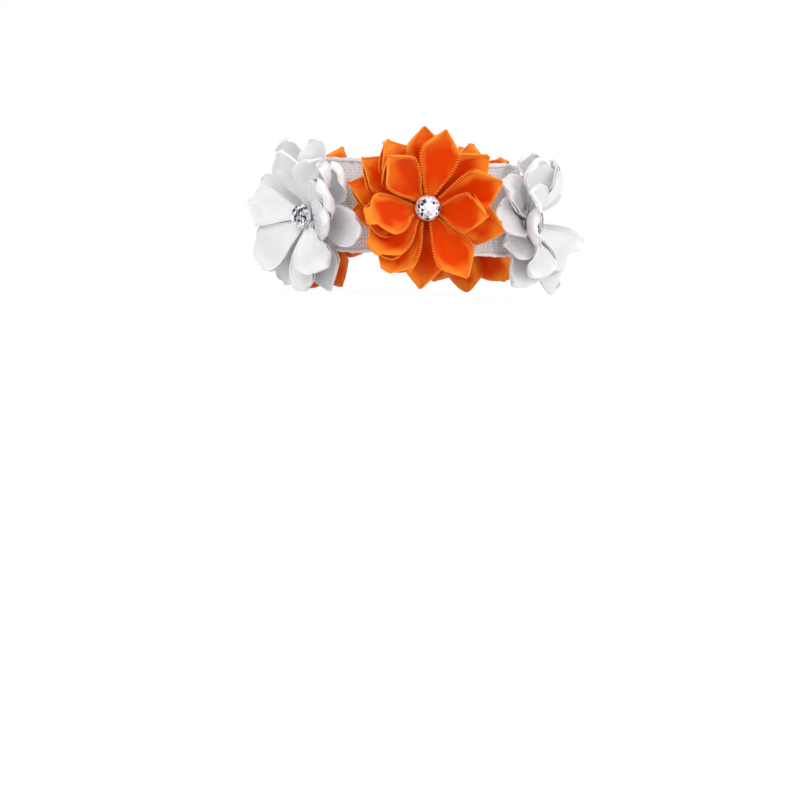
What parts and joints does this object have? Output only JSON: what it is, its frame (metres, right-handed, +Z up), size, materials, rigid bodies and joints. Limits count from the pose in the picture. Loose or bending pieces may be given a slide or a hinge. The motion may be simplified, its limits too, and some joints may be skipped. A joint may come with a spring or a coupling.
{
  "type": "wrist corsage",
  "caption": "Stretch lace wristband carrying folded satin ribbon flowers in orange and white, each with a round crystal at its centre.",
  "frame": {"origin": "on the axis of the loop, at the level of the lowest petal tips, which the corsage stands on", "axes": "+Z up along the loop's axis, towards the elbow when worn; -Y out through the front of the wrist; +X to the viewer's right"},
  "size_m": [0.0914, 0.0793, 0.0444],
  "materials": {
    "satin_orange": "glossy satin ribbon",
    "satin_white": "glossy satin ribbon",
    "lace_white": "sheer stretch lace with corded edges",
    "felt_white": "matt felt",
    "thread_white": "twisted sewing thread",
    "foil_silver": "thin polished foil",
    "crystal": "cut and polished"
  },
  "bodies": {
    "front_flower": {"front_band_panel": "lace_white", "front_felt_disc": "felt_white", "front_lower_petals": "satin_orange", "front_gather_thread": "thread_white", "front_upper_petals": "satin_orange", "front_stone_cup": "foil_silver", "front_stone": "crystal"},
    "left_flower": {"left_band_panel": "lace_white", "left_felt_disc": "felt_white", "left_lower_petals": "satin_white", "left_gather_thread": "thread_white", "left_upper_petals": "satin_white", "left_stone_cup": "foil_silver", "left_stone": "crystal", "band_link_front_left": "lace_white"},
    "right_flower": {"right_band_panel": "lace_white", "right_felt_disc": "felt_white", "right_lower_petals": "satin_white", "right_gather_thread": "thread_white", "right_upper_petals": "satin_white", "right_stone_cup": "foil_silver", "right_stone": "crystal", "band_link_front_right": "lace_white"},
    "back_left_flower": {"back_left_band_panel": "lace_white", "back_left_felt_disc": "felt_white", "back_left_lower_petals": "satin_orange", "back_left_gather_thread": "thread_white", "back_left_upper_petals": "satin_orange", "back_left_stone_cup": "foil_silver", "back_left_stone": "crystal", "band_link_back_left": "lace_white", "band_end_inner": "lace_white"},
    "back_right_flower": {"back_right_band_panel": "lace_white", "back_right_felt_disc": "felt_white", "back_right_lower_petals": "satin_orange", "back_right_gather_thread": "thread_white", "back_right_upper_petals": "satin_orange", "back_right_stone_cup": "foil_silver", "back_right_stone": "crystal", "band_link_back_right": "lace_white", "band_end_outer": "lace_white", "lap_stitches": "thread_white"}
  },
  "joints": [
    {"name": "front_left_stretch", "type": "slide", "parent": "front_flower", "child": "left_flower", "axis": [-0.9596, 0.2812, 0], "range_m": [0, 0.00706], "stiffness_N_per_m": 120, "deforming": ["band_link_front_left"]},
    {"name": "front_right_stretch", "type": "slide", "parent": "front_flower", "child": "right_flower", "axis": [0.8236, 0.5672, 0], "range_m": [0, 0.00695], "deforming": ["band_link_front_right"]},
    {"name": "back_left_stretch", "type": "slide", "parent": "left_flower", "child": "back_left_flower", "axis": [0.0418, 0.9991, 0], "range_m": [0, 0.0065], "deforming": ["band_link_back_left"]},
    {"name": "back_right_stretch", "type": "slide", "parent": "right_flower", "child": "back_right_flower", "axis": [-0.5216, 0.8532, 0], "range_m": [0, 0.0067], "deforming": ["band_link_back_right"]}
  ],
  "couplings": [
    {"joint": "front_right_stretch", "follows": "front_left_stretch", "ratio": 0.9834},
    {"joint": "back_left_stretch", "follows": "front_left_stretch", "ratio": 0.91949},
    {"joint": "back_right_stretch", "follows": "front_left_stretch", "ratio": 0.94774}
  ]
}
